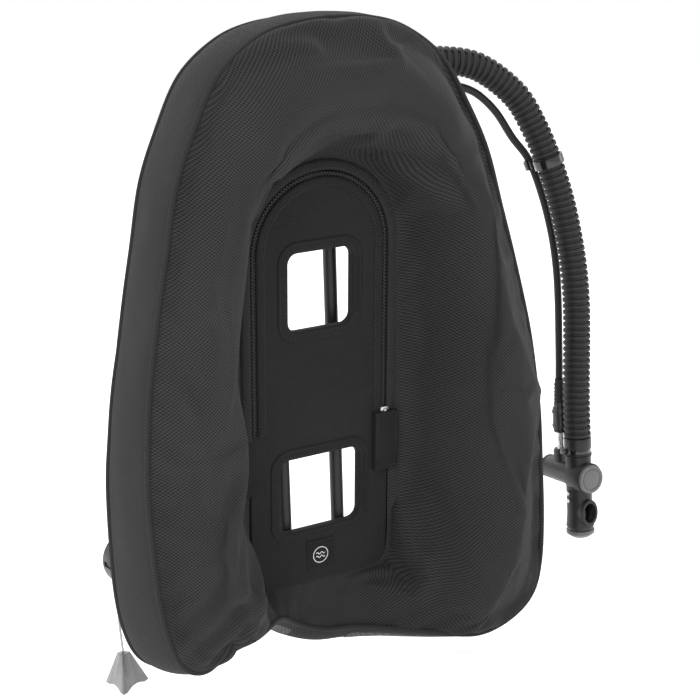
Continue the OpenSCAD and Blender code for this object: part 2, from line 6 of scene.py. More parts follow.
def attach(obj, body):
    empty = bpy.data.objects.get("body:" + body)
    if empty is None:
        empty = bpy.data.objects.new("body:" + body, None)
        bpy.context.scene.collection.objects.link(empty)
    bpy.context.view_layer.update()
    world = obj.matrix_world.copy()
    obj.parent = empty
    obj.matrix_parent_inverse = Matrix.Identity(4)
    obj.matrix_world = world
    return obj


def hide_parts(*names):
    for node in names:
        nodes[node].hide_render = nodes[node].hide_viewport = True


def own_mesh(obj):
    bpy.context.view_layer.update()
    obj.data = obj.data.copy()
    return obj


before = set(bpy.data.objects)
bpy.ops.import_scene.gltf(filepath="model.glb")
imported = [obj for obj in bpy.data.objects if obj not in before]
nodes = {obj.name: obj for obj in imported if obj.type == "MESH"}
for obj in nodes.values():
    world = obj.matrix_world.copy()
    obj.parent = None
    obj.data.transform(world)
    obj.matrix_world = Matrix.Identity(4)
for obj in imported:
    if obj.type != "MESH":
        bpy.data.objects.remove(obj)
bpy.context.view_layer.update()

mm = 0.001
scene = bpy.context.scene


# camera and lights
view = {"turn": -31, "rise": 12.5, "roll": 3.45, "distance": 1.6, "target": (0, -0.062, 0.05), "lens": 89.4}


def placeCamera():
    a, p, r = radians(view["turn"]), radians(view["rise"]), radians(view["roll"])
    back = Vector((sin(a)*cos(p), -cos(a)*cos(p), sin(p)))
    right = Vector((cos(a), sin(a), 0))
    up = back.cross(right)
    side, top = right*cos(r)-up*sin(r), right*sin(r)+up*cos(r)
    cam = bpy.data.objects.new("camera", bpy.data.cameras.new("camera"))
    cam.matrix_world = Matrix.Translation(Vector(view["target"])+back*view["distance"]) @ \
        Matrix((side, top, back)).transposed().to_4x4()
    cam.data.lens = view["lens"]
    cam.data.sensor_width = 36
    cam.data.clip_start = 0.05
    scene.collection.objects.link(cam)
    scene.camera = cam


lightRig = [  # name, place, size, power, colour
    ("keyLight", (-1.3, -2.0, 1.5), (1.0, 1.0), 24, (1, 1, 1)),
    ("rightLight", (2.6, -0.9, 0.9), (0.9, 1.8), 12, (1, 1, 1)),
    ("leftLight", (-2.3, 0.5, 0.6), (0.8, 1.8), 9, (1, 1, 1)),
    ("topLight", (0.2, 0.6, 2.2), (1.6, 1.2), 12, (1, 1, 1)),
    ("rearLight", (0.6, 2.3, 1.0), (1.6, 1.6), 10, (1, 1, 1)),
]


def placeLights():
    for name, place, size, power, tint in lightRig:
        lamp = bpy.data.lights.new(name, "AREA")
        lamp.shape = "RECTANGLE"
        lamp.size, lamp.size_y = size
        lamp.energy = power
        lamp.color = tint
        o = bpy.data.objects.new(name, lamp)
        o.location = place
        o.rotation_euler = (Vector((0, 0, 0.02))-Vector(place)).to_track_quat("-Z", "Y").to_euler()
        scene.collection.objects.link(o)
    world = bpy.data.worlds.new("studio")
    world.use_nodes = True
    nt = world.node_tree
    nt.nodes["Background"].inputs["Color"].default_value = (1, 1, 1, 1)
    nt.nodes["Background"].inputs["Strength"].default_value = 1.0
    scene.world = world
    scene.view_settings.view_transform = "Standard"


placeCamera()
placeLights()
print("camera and lights placed")


# shader helpers
class Wire:  # one shader value, usable in sums
    def __init__(self, finish, socket):
        self.finish, self.socket = finish, socket

    def maths(self, operation, *values):
        return self.finish.add("ShaderNodeMath", {"operation": operation}, dict(enumerate(values)))

    def __add__(self, o): return self.maths("ADD", self, o)
    def __radd__(self, o): return self.maths("ADD", o, self)
    def __sub__(self, o): return self.maths("SUBTRACT", self, o)
    def __rsub__(self, o): return self.maths("SUBTRACT", o, self)
    def __mul__(self, o): return self.maths("MULTIPLY", self, o)
    def __rmul__(self, o): return self.maths("MULTIPLY", o, self)
    def __truediv__(self, o): return self.maths("DIVIDE", self, o)
    def __rtruediv__(self, o): return self.maths("DIVIDE", o, self)
    def __pow__(self, o): return self.maths("POWER", self, o)
    def __abs__(self): return self.maths("ABSOLUTE", self)
    def wave(self): return self.maths("SINE", self)


class Finish:  # one material while it is being built
    def __init__(self, name):
        self.mat = bpy.data.materials.new(name)
        self.mat.use_nodes = True
        self.tree = self.mat.node_tree
        self.shader = self.tree.nodes["Principled BSDF"]

    def add(self, kind, settings, sockets, out=0):
        n = self.tree.nodes.new(kind)
        for key, value in settings.items():
            if key == "stops":
                while len(n.color_ramp.elements) < len(value):
                    n.color_ramp.elements.new(0.5)
                for e, (at, c) in zip(n.color_ramp.elements, value):
                    e.position, e.color = at, (c, c, c, 1)
            else:
                setattr(n, key, value)
        for key, value in sockets.items():
            self.put(n.inputs[key], value)
        return Wire(self, n.outputs[out])

    def put(self, socket, value):
        if isinstance(value, Wire):
            self.tree.links.new(value.socket, socket)
        else:
            socket.default_value = value

    def set(self, **sockets):
        for key, value in sockets.items():
            self.put(self.shader.inputs[key.replace("_", " ")], value)
        return self

    def place(self, turn=(0, 0, 0)):  # object coordinates in metres
        c = self.add("ShaderNodeTexCoord", {}, {}, "Object")
        return c if turn == (0, 0, 0) else self.add("ShaderNodeMapping", {}, {"Vector": c, "Rotation": turn})

    def cloth(self):  # cloth coordinates in metres
        return self.add("ShaderNodeUVMap", {"uv_map": "UVMap"}, {})

    def parts(self, vector):
        split = self.add("ShaderNodeSeparateXYZ", {}, {"Vector": vector})
        return [Wire(self, split.socket.node.outputs[i]) for i in range(3)]

    def noise(self, vector, scale, detail=3, rough=0.5):
        return self.add("ShaderNodeTexNoise", {}, {"Vector": vector, "Scale": scale, "Detail": detail,
                                                   "Roughness": rough})

    def mix(self, share, a, b):
        n = self.tree.nodes.new("ShaderNodeMix")
        n.data_type = "RGBA"
        self.put(n.inputs[0], share)
        self.put(n.inputs[6], a)
        self.put(n.inputs[7], b)
        return Wire(self, n.outputs[2])

    def bump(self, height, distance, strength=1.0, under=None):
        sockets = {"Height": height, "Distance": distance, "Strength": strength}
        if under is not None:
            sockets["Normal"] = under
        self.put(self.shader.inputs["Normal"], self.add("ShaderNodeBump", {}, sockets))
        return self


def grey(v, tint=(1, 1, 1)):
    return (v*tint[0], v*tint[1], v*tint[2], 1)


weave = {"pitch": 3.0*mm, "dark": 0.004, "light": 0.050, "bump": 0.6*mm}


def clothFinish(name, dark, light, pitch, bump, turn=0.0, sheen=0.04, rough=0.85):
    f = Finish(name)
    uv = f.cloth()
    if turn:
        uv = f.add("ShaderNodeMapping", {}, {"Vector": uv, "Rotation": (0, 0, turn)})
    u, v, _ = f.parts(uv)
    wander = f.noise(uv, 90, 2)
    step = 2*pi/pitch
    warp = (u*step+wander*1.6).wave()
    weft = (v*step+wander*1.6).wave()
    knots = warp*weft*0.5+0.5
    lint = f.noise(uv, 900, 2, 0.7)
    patchy = f.noise(uv, 7, 4, 0.55)
    tone = knots*0.72+lint*0.24+(patchy-0.5)*0.35
    f.set(Base_Color=f.mix(tone, grey(dark), grey(light)), Roughness=(rough-0.06)+patchy*0.12,
          Sheen_Weight=sheen, Sheen_Roughness=0.45, Specular_IOR_Level=0.1)
    f.bump(knots*0.75+lint*0.25, bump)
    return f.mat


def tapeFinish(name, dark, light, rib, across=False):
    f = Finish(name)
    uv = f.cloth()
    u, v, _ = f.parts(uv)
    a, b = (v, u) if across else (u, v)
    ribs = (a*(2*pi/rib)).wave()*0.5+0.5
    fine = (b*(2*pi/(rib*0.8))).wave()*0.5+0.5
    lint = f.noise(uv, 1100, 2, 0.7)
    tone = ribs*0.45+fine*0.2+lint*0.35
    f.set(Base_Color=f.mix(tone, grey(dark), grey(light)), Roughness=0.75, Sheen_Weight=0.03,
          Specular_IOR_Level=0.12)
    f.bump(ribs*0.6+fine*0.25+lint*0.15, 0.25*mm)
    return f.mat


def objectTapeFinish(name, dark, light, rib):  # for CAD solids, which have no cloth map
    f = Finish(name)
    x, y, z = f.parts(f.place())
    step = 2*pi/rib
    knots = (x*step).wave()*((z+y*0.6)*step).wave()*0.5+0.5
    lint = f.noise(f.place(), 1000, 2, 0.7)
    patchy = f.noise(f.place(), 30, 3)
    f.set(Base_Color=f.mix(knots*0.5+lint*0.35+(patchy-0.5)*0.4, grey(dark), grey(light)), Roughness=0.75,
          Sheen_Weight=0.03, Specular_IOR_Level=0.12)
    f.bump(knots*0.7+lint*0.3, 0.25*mm)
    return f.mat


def mouldFinish(name, tone, rough, grain=0.05*mm, coat=0.0, tint=(1, 1, 1)):
    f = Finish(name)
    p = f.place()
    fine = f.noise(p, 1600, 3, 0.6)
    scuff = f.noise(p, 60, 4, 0.65)
    f.set(Base_Color=f.mix(scuff, grey(tone*0.75, tint), grey(tone*1.3, tint)),
          Roughness=(rough-0.08)+scuff*0.16, Specular_IOR_Level=0.35, Coat_Weight=coat, Coat_Roughness=0.15)
    f.bump(fine, grain)
    return f.mat


def metalFinish(name, tone, rough):
    f = Finish(name)
    p = f.place()
    brushed = f.noise(f.add("ShaderNodeMapping", {}, {"Vector": p, "Scale": (1, 1, 0.08)}), 2200, 2)
    wear = f.noise(p, 80, 4, 0.6)
    f.set(Base_Color=f.mix(wear, grey(tone*0.8), grey(tone*1.1)), Metallic=1.0, Roughness=(rough-0.1)+brushed*0.2)
    f.bump(brushed, 0.02*mm)
    return f.mat


finishes = {
    "cover": clothFinish("coverWeave", weave["dark"], weave["light"], weave["pitch"], weave["bump"]),
    # panel weave: the cover weave painted darker, as painted shade for the recessed centre panel
    "panel": clothFinish("panelWeavePaintedShade", 0.003, 0.036, weave["pitch"], weave["bump"]),
    "piping": tapeFinish("pipingTape", 0.010, 0.034, 1.5*mm),
    "binding": tapeFinish("bindingTape", 0.006, 0.024, 2.2*mm),
    "welt": tapeFinish("weltTape", 0.007, 0.028, 1.8*mm),
    "strap": objectTapeFinish("sleeveTape", 0.006, 0.026, 1.8*mm),
    "thread": mouldFinish("stitchThread", 0.03, 0.6),
    "mark": mouldFinish("wovenMark", 0.62, 0.6),
    "teeth": mouldFinish("zipCoil", 0.009, 0.38),
    "plastic": mouldFinish("blackMoulding", 0.011, 0.42),
    "tie": mouldFinish("glossTie", 0.008, 0.16, 0.02*mm, 0.6),
    "rubber": mouldFinish("hoseRubber", 0.010, 0.55, 0.08*mm),
    "greyPlastic": mouldFinish("greyMoulding", 0.105, 0.38),
    "knob": mouldFinish("knobMoulding", 0.15, 0.26, 0.03*mm, 0.2),
    "steel": metalFinish("platedSteel", 0.55, 0.3),
    "darkMetal": metalFinish("darkSleeve", 0.07, 0.42),
    "cord": tapeFinish("pullCordBraid", 0.28, 0.6, 1.1*mm),
    "film": mouldFinish("bladderFilm", 0.2, 0.5, 0.1*mm, 0, (1, 0.35, 0.12)),
    "mesh": objectTapeFinish("drainNet", 0.02, 0.16, 3.0*mm),
    "label": objectTapeFinish("labelSatin", 0.008, 0.02, 0.9*mm),
}
print("finishes built")


# mesh helpers
def onlyThis(o):
    bpy.ops.object.select_all(action="DESELECT")
    bpy.context.view_layer.objects.active = o
    o.select_set(True)


def applyModifier(o, kind, **settings):
    onlyThis(o)
    m = o.modifiers.new(kind.lower(), kind)
    for key, value in settings.items():
        setattr(m, key, value)
    bpy.ops.object.modifier_apply(modifier=m.name)


def newPiece(name, verts, faces, finish, body="cell", uvs=None, smooth=True):
    mesh = bpy.data.meshes.new(name)
    mesh.from_pydata([tuple(v) for v in verts], [], faces)
    if uvs is not None:
        layer = mesh.uv_layers.new(name="UVMap")
        for loop in mesh.loops:
            layer.data[loop.index].uv = uvs[loop.vertex_index]
    mesh.validate()
    o = bpy.data.objects.new(name, mesh)
    scene.collection.objects.link(o)
    mesh.materials.append(finishes[finish])
    for p in mesh.polygons:
        p.use_smooth = smooth
    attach(o, body)
    return o


def smoothLine(points, steps, closed=False):  # even curve through given points
    n = len(points)
    out = []
    for i in range(n if closed else n-1):
        a, b, c, d = [Vector(points[k % n if closed else min(max(k, 0), n-1)]) for k in (i-1, i, i+1, i+2)]
        for k in range(steps):
            t = k/steps
            out.append(0.5*((2*b)+(c-a)*t+(2*a-5*b+4*c-d)*t*t+(3*b-a-3*c+d)*t*t*t))
    if not closed:
        out.append(Vector(points[-1]))
    return out


def evenly(path, spacing):  # the same line with points a fixed distance apart
    lengths = [0]
    for a, b in zip(path, path[1:]):
        lengths.append(lengths[-1]+(b-a).length)
    count = max(2, round(lengths[-1]/spacing))
    out, k = [], 0
    for i in range(count+1):
        want = lengths[-1]*i/count
        while k < len(path)-2 and lengths[k+1] < want:
            k += 1
        share = (want-lengths[k])/max(1e-9, lengths[k+1]-lengths[k])
        out.append(path[k].lerp(path[k+1], min(1, share)))
    return out


def pathLength(path):
    return sum((b-a).length for a, b in zip(path, path[1:]))


# profile: (side, up) offsets; ring: the profile is a closed loop
def sweep(name, path, sides, ups, profile, finish, body="cell", closed=False, ring=True, scale=None):
    verts, uvs, faces = [], [], []
    n, k = len(path), len(profile)
    girth = [0]
    for j in range(1, k):
        girth.append(girth[-1]+(Vector(profile[j])-Vector(profile[j-1])).length)
    run = 0
    for i in range(n):
        if i:
            run += (path[i]-path[i-1]).length
        f = 1 if scale is None else scale[i]
        for j, (a, b) in enumerate(profile):
            verts.append(path[i]+sides[i]*a*f+ups[i]*b*f)
            uvs.append((run, girth[j]))
    for i in range(n if closed else n-1):
        for j in range(k if ring else k-1):
            a, b = i*k+j, i*k+(j+1) % k
            c, d = ((i+1) % n)*k+(j+1) % k, ((i+1) % n)*k+j
            faces.append((a, b, c, d))
    if not closed and ring:
        faces += [tuple(range(k-1, -1, -1)), tuple((n-1)*k+j for j in range(k))]
    o = newPiece(name, verts, faces, finish, body, uvs)
    turnOut(o)
    return o


def turnOut(o):  # normals outwards on a closed form
    bm = bmesh.new()
    bm.from_mesh(o.data)
    bmesh.ops.recalc_face_normals(bm, faces=bm.faces)
    bm.to_mesh(o.data)
    bm.free()


def roundProfile(r, count):
    return [(r*cos(2*pi*j/count), r*sin(2*pi*j/count)) for j in range(count)]


def tubeFrames(path):  # directions across a tube without twist
    tangents = [(path[min(i+1, len(path)-1)]-path[max(i-1, 0)]).normalized() for i in range(len(path))]
    side = tangents[0].cross(Vector((0, 1, 0))).normalized()
    sides, ups = [], []
    for t in tangents:
        side = (side-t*side.dot(t)).normalized()
        sides.append(side.copy())
        ups.append(t.cross(side))
    return sides, ups


def joinInto(name, objects):
    onlyThis(objects[0])
    for o in objects[1:]:
        o.select_set(True)
    bpy.ops.object.join()
    objects[0].name = name
    return objects[0]


def acrossLine(line, out):  # sideways at each point of a line lying on the panel
    last = len(line)-1
    return [(line[min(i+1, last)]-line[max(i-1, 0)]).normalized().cross(out) for i in range(last+1)]


# a run of sewn stitches lying along a path
def dashes(name, path, sides, ups, gap, length, width, height, finish, body="cell"):
    even = evenly(path, 1.0*mm)
    verts, faces = [], []
    total = pathLength(path)
    count = int(total/gap)
    for s in range(count):
        at = (s+0.5)*total/count
        i = min(len(even)-2, int(at/total*(len(even)-1)))
        k = min(len(path)-1, int(at/total*(len(path)-1)))
        t = (even[min(i+1, len(even)-1)]-even[max(i-1, 0)]).normalized()
        c, side, up = even[i], sides[k], ups[k]
        base = len(verts)
        for along, wide, tall in ((-1, 0, -0.6), (-0.55, 1, 0), (-0.55, -1, 0), (-0.5, 0, 1), (0.55, 1, 0),
                                  (0.55, -1, 0), (0.5, 0, 1), (1, 0, -0.6)):
            verts.append(c+t*along*length/2+side*wide*width/2+up*tall*height)
        for f in ((0, 1, 3), (0, 3, 2), (1, 4, 6, 3), (3, 6, 5, 2), (4, 7, 6), (6, 7, 5), (0, 2, 5, 7), (0, 7, 4, 1)):
            faces.append(tuple(base+v for v in f))
    return newPiece(name, verts, faces, finish, body)


# a CAD solid's own shape with its edges rounded as moulded
def softened(node, finish, width=0.5*mm, body="cell", angle=30, segments=2, name=None):
    o = bpy.data.objects.new(name or node+"Made", nodes[node].data.copy())
    scene.collection.objects.link(o)
    bm = bmesh.new()
    bm.from_mesh(o.data)
    bmesh.ops.remove_doubles(bm, verts=bm.verts, dist=1e-6)
    bmesh.ops.dissolve_limit(bm, angle_limit=radians(1.0), verts=bm.verts, edges=bm.edges)
    bm.to_mesh(o.data)
    bm.free()
    o.data.materials.clear()
    o.data.materials.append(finishes[finish])
    if width:
        applyModifier(o, "BEVEL", width=width, segments=segments, limit_method="ANGLE", angle_limit=radians(angle))
    onlyThis(o)
    bpy.ops.object.shade_smooth_by_angle(angle=radians(35))
    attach(o, body)
    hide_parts(node)
    return o


# the hoses
hose = {"radius": 14.2*mm, "pitch": 6.5*mm, "sides": 36, "tabAngle": radians(35)}
hoseRoute = [(100.3, 60, 292), (112, 60, 292), (128, 59, 294), (148, 54, 298), (174, 45, 299), (215, 32, 290),
             (251, 20, 260), (270, 14, 226), (283, 9, 190), (294, 6, 152), (301, 3, 112), (305, 1, 75), (306, 0, 40),
             (305, 0, 0), (303, 0, -40), (302, 0, -70), (302, 0, -102)]
supplyRoute = [(-30, 45, 250), (-8, 45, 253), (20, 45, 255), (50, 45, 256), (85, 45, 259), (120, 46, 268),
               (150, 46, 276), (180, 42, 275), (212, 38, 266), (236, 34, 245), (258, 35, 215), (276, 32, 190),
               (289, 29, 152), (297, 26, 112), (301, 25, 75), (302, 25, 40), (302, 26, 0), (302, 27, -28),
               (302, 28, -44)]
cellShift = Vector((0, -0.012, 0))  # the cell sits this far forward of the panel
hoseLine = smoothLine([Vector(p)*mm+cellShift for p in hoseRoute], 12)
supplyLine = smoothLine([Vector(p)*mm+cellShift for p in supplyRoute], 8)


def makeCorrugatedHose():
    total = pathLength(hoseLine)
    ribs = round(total/hose["pitch"])
    pitch = total/ribs
    fine = evenly(hoseLine, total/(ribs*8))
    sides, ups = tubeFrames(fine)
    share = [0.86, 0.86, 0.985, 1.0, 1.0, 1.0, 0.985, 0.86]  # groove, shoulder, flat crest
    verts, uvs, faces = [], [], []
    k = hose["sides"]
    for i, p in enumerate(fine):
        for j in range(k):
            a = 2*pi*j/k
            r = hose["radius"]*share[i % 8]
            verts.append(p+sides[i]*r*cos(a)+ups[i]*r*sin(a))
            uvs.append((i*pitch/8, a*hose["radius"]))
    n = len(fine)
    for i in range(n-1):
        for j in range(k):
            faces.append((i*k+j, i*k+(j+1) % k, (i+1)*k+(j+1) % k, (i+1)*k+j))
    faces += [tuple(range(k-1, -1, -1)), tuple((n-1)*k+j for j in range(k))]
    o = newPiece("corrugatedHose", verts, faces, "rubber", uvs=uvs)
    turnOut(o)
    applyModifier(o, "BEVEL", width=0.45*mm, segments=2, limit_method="ANGLE", angle_limit=radians(28))
    onlyThis(o)
    bpy.ops.object.shade_smooth_by_angle(angle=radians(50))
    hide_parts("corrugated_hose")
    # moulding notches in each groove along the outer side
    marks, faces = [], []
    for s in range(ribs):
        i = s*8
        if i+1 >= n:
            break
        c, t = fine[i], (fine[i+1]-fine[i]).normalized()
        out = sides[i]*cos(hose["tabAngle"])+ups[i]*sin(hose["tabAngle"])
        across = t.cross(out)
        base = len(marks)
        r0, r1 = hose["radius"]*0.84, hose["radius"]*1.0
        for r in (r0, r1):
            for a, b in ((-1, -1), (1, -1), (1, 1), (-1, 1)):
                marks.append(c+out*r+t*a*0.55*mm+across*b*1.2*mm)
        for f in ((0, 3, 2, 1), (4, 5, 6, 7), (0, 1, 5, 4), (1, 2, 6, 5), (2, 3, 7, 6), (3, 0, 4, 7)):
            faces.append(tuple(base+v for v in f))
    notches = newPiece("hoseMouldTabs", marks, faces, "plastic", smooth=False)
    turnOut(notches)
    return o, notches, total


hosePiece, hoseTabs, hoseTotal = makeCorrugatedHose()


def makeSupplyHose():
    line = evenly(supplyLine, 4*mm)
    sides, ups = tubeFrames(line)
    o = sweep("supplyHose", line, sides, ups, roundProfile(3.9*mm, 20), "rubber")
    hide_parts("lp_hose")
    return o


supplyPiece = makeSupplyHose()
print("hose lengths", round(hoseTotal, 4), round(pathLength(supplyLine), 4))

# pull cord
cordX, cordY, cordBottom = -0.201, 0.057, -0.232
cordLine = smoothLine([Vector(p) for p in ((cordX, cordY, -0.158), (cordX-mm, cordY, -0.180),
                                           (cordX-mm, cordY, -0.205), (cordX, cordY, cordBottom))], 8)
sideDirs, upDirs = tubeFrames(cordLine)
pullCord = sweep("pullCord", cordLine, sideDirs, upDirs, roundProfile(1.1*mm, 12), "cord", "dump_pull")
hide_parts("dump_cord")

# the padded cell
cell = {"halfWidth": 0.215, "top": 0.35223, "bottom": 0.24477, "frontY": -0.05, "rearY": 0.02, "pipe": 2.4*mm,
        "gap": 0.078, "arch": 0.1408892, "foot": -0.1958160, "centre": 0.020, "tilt": radians(7), "in": 0.012,
        "bulge": 0.078, "rearBulge": 0.020, "cloth": 2*mm, "flare": 0.014}
halfUp = [(0, 1), (0.21, 0.99), (0.38, 0.955), (0.55, 0.875), (0.67, 0.75), (0.765, 0.62), (0.83, 0.46),
          (0.89, 0.31), (0.955, 0.12)]
downRight = [(0.985, -0.04), (1, -0.2), (1, -0.42), (0.995, -0.65), (0.975, -0.83), (0.925, -0.955),
             (0.82, -1.03), (0.66, -1.07), (0.47, -1.06), (0.29, -1.05), (0.14, -1.04), (0, -1.02)]
downLeft = [(0.985, -0.04), (1, -0.2), (0.998, -0.42), (0.985, -0.62), (0.955, -0.76), (0.9, -0.865),
            (0.8, -0.9), (0.66, -0.845), (0.47, -0.835), (0.29, -0.88), (0.14, -0.965)]
ringPoints = [(x*cell["halfWidth"], z*cell["top"]) for x, z in halfUp] + \
             [(x*cell["halfWidth"], z*cell["bottom"]) for x, z in downRight] + \
             [(-x*cell["halfWidth"], z*cell["bottom"]) for x, z in downLeft[::-1]] + \
             [(-x*cell["halfWidth"], z*cell["top"]) for x, z in halfUp[:0:-1]]
seamLine = [Vector((p.x, p.y)) for p in smoothLine([Vector((x, z, 0)) for x, z in ringPoints], 7, True)]
around = len(seamLine)
tanTilt, cosTilt = tan(cell["tilt"]), cos(cell["tilt"])


def seamNormal(i):
    t = seamLine[(i+1) % around]-seamLine[i-1]
    return Vector((-t.y, t.x)).normalized()


seamNormals = [seamNormal(i) for i in range(around)]


def flareAt(z):
    top, bottom = cell["top"], cell["bottom"]
    return cell["flare"]*min(1, max(0, (top*0.2-z)/(top*0.2+bottom*0.8)))


rearLine = [seamLine[i]+seamNormals[i]*flareAt(seamLine[i].y) for i in range(around)]
dipY = cell["in"]+tanTilt*cell["bottom"]*0.94-7*mm  # both seams run back to the panel under the middle


def dip(i):
    p = seamLine[i]
    t = min(1, max(0, (0.6-abs(p.x)/cell["halfWidth"])/0.5))
    return t*t*(3-2*t) if p.y < -cell["bottom"]*0.5 else 0


dips = [dip(i) for i in range(around)]
frontY = [cell["frontY"]+(dipY-cell["frontY"])*d for d in dips]
rearY = [cell["rearY"]+(dipY+18*mm-cell["rearY"])*d for d in dips]


def innerReach(c, s, half):
    side = half/max(abs(c), 1e-4)
    z = cell["centre"]+s*side
    u = cell["arch"]-cell["centre"]
    if s > 0 and z > cell["arch"]:
        return u*s+sqrt(max(0, u*s*u*s-u*u+half*half))
    if s < 0 and z < cell["foot"]:
        return (cell["centre"]-cell["foot"])/(-s)
    return side


def innerRing(half, rounding):
    dirs = [Vector((p.x, p.y-cell["centre"])).normalized() for p in seamLine]
    reach = [innerReach(d.x, d.y, half) for d in dirs]
    for _ in range(rounding):
        reach = [(reach[i-1]+2*reach[i]+reach[(i+1) % around])/4 for i in range(around)]
    return [Vector((d.x*r, (cell["centre"]+d.y*r)*cosTilt)) for d, r in zip(dirs, reach)]


innerLine = innerRing(cell["gap"], 6)


def swell(s):
    return sin(pi*s**0.85)**0.9 if 0 < s < 1 else 0.0


def fullness(i):
    return (1-dips[i])*min(1, (seamLine[i]-innerLine[i]).length/(cell["halfWidth"]*0.64))


flat = 0.09


def ramp(s):
    return max(0, (s-flat)/(1-flat))


def frontPoint(i, s, lift=0.0):
    edge = seamLine[i]-seamNormals[i]*1.2*mm
    p = innerLine[i].lerp(edge, s)
    r = ramp(s)
    y = (cell["in"]-cell["cloth"]-tanTilt*p.y)*(1-r)+frontY[i]*r-cell["bulge"]*fullness(i)*swell(r)
    return Vector((p.x, y-lift, p.y))+cellShift


def rearPoint(i, s):
    edge = rearLine[i]-seamNormals[i]*1.2*mm
    p = innerLine[i].lerp(edge, s)
    r = ramp(s)
    y = (cell["in"]+7.15*mm)*(1-r)-tanTilt*p.y*(1-r)**2+rearY[i]*r+cell["rearBulge"]*fullness(i)*swell(r)
    return Vector((p.x, y, p.y))+cellShift


def tilted(x, y, z):  # a point given on the leaning centre panel
    return Vector((x, y*cosTilt-z*sin(cell["tilt"]), y*sin(cell["tilt"])+z*cosTilt))


panelOut = Vector((0, -cosTilt, -sin(cell["tilt"])))  # away from the panel, to the front


def puckers(p, edge, seed):  # small gathers that fade away from a seam
    return noise.noise(Vector((p.x*38, p.z*38, seed)))*edge


def ringShell(name, pointAt, rows, finish, outwards, replaced, foldsAt):
    verts, uvs, faces = [], [], []
    for r in range(rows+1):
        s = r/rows
        for i in range(around):
            p = pointAt(i, s)
            big = noise.noise(Vector((p.x*9, p.z*9, 3.1)))
            near = min(1, s*(1-s)*7)
            p.y += outwards*near*(1.6*mm*big+1.2*mm*puckers(p, 1-near, 8.0))
            verts.append(p)
            uvs.append((p.x, p.z))
    for r in range(rows):
        for i in range(around):
            a, b = r*around+i, r*around+(i+1) % around
            c, d = (r+1)*around+(i+1) % around, (r+1)*around+i
            faces.append((a, d, c, b) if outwards < 0 else (a, b, c, d))
    pinned = list(range(around))+list(range(rows*around, (rows+1)*around))
    pinned += [r*around+i for r in range(1, max(2, int(rows*flat)+1)) for i in range(around)]
    o = newPiece(name, verts, faces, finish, uvs=uvs)
    puff(o, pinned, 0.010)
    crumple(o, foldsAt, 3)
    applyModifier(o, "SUBSURF", levels=1, render_levels=1)
    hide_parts(*replaced)
    return o


def bell(v, centre, width):
    return 2.718**(-((v-centre)/width)**2)


def crease(x, z, a, b, width, depth):  # one fold along a line from a to b
    run = Vector(b)-Vector(a)
    t = max(0, min(1, (Vector((x, z))-Vector(a)).dot(run)/run.length_squared))
    away = (Vector((x, z))-Vector(a)-run*t).length
    return depth*bell(away, 0, width)*sin(pi*min(1, 0.12+t*0.88))


creases = [  # start, end, width, depth in metres; below zero is a valley
    ((-0.168, -0.226), (-0.108, -0.140), 5*mm, -2.2*mm), ((-0.158, -0.228), (-0.100, -0.150), 5*mm, 1.6*mm),
    ((0.084, -0.085), (0.094, -0.215), 7*mm, -3.4*mm), ((0.104, -0.090), (0.108, -0.190), 7*mm, 1.6*mm),
    ((0.076, -0.120), (0.068, -0.232), 4*mm, -2.0*mm), ((0.092, -0.170), (0.074, -0.236), 4*mm, 1.6*mm),
    ((0.040, -0.200), (0.026, -0.230), 4*mm, -1.4*mm), ((-0.010, -0.200), (-0.024, -0.228), 4*mm, -1.2*mm),
    ((0.150, 0.250), (0.100, 0.205), 7*mm, -1.6*mm), ((0.020, 0.262), (0.028, 0.232), 6*mm, -1.6*mm),
    ((-0.198, -0.088), (-0.160, -0.080), 5*mm, -1.8*mm), ((-0.196, -0.020), (-0.150, 0.030), 8*mm, -1.4*mm),
    ((-0.185, 0.080), (-0.140, 0.120), 9*mm, -1.4*mm), ((-0.110, 0.270), (-0.070, 0.215), 8*mm, -1.6*mm),
    ((0.190, -0.150), (0.130, -0.120), 8*mm, -1.2*mm), ((0.198, 0.040), (0.150, 0.070), 8*mm, -1.2*mm)]


folds = {"gather": 3.8*mm, "spacing": 0.0215, "creases": 2.2}  # sewn gathers low on the left lobe, and creases


def frontFolds(x, z):
    gather = sin(((x-z)*0.7071+noise.noise(Vector((x*14, z*14, 2)))*0.012)*2*pi/folds["spacing"])
    out = folds["gather"]*gather*bell(x, -0.165, 0.045)*bell(z, -0.165, 0.056)
    soft = noise.noise(Vector((x*22, z*11, 6.5)))*1.7*mm+noise.noise(Vector((x*52, z*34, 2.5)))*0.5*mm
    return out+soft+folds["creases"]*sum(crease(x, z, *c) for c in creases)


def rearFolds(x, z):
    return noise.noise(Vector((x*20, z*12, 9.5)))*1.3*mm+noise.noise(Vector((x*60, z*40, 4.5)))*0.4*mm


def crumple(o, foldsAt, edge):  # presses folds into a cover, fading out at its sewn edges
    count = len(o.data.vertices)//around
    moves = [v.normal*foldsAt(v.co.x, v.co.z)*min(1, (v.index//around)/edge, (count-1-v.index//around)/edge)
             for v in o.data.vertices]
    for v, m in zip(o.data.vertices, moves):
        v.co += m
    o.data.update()


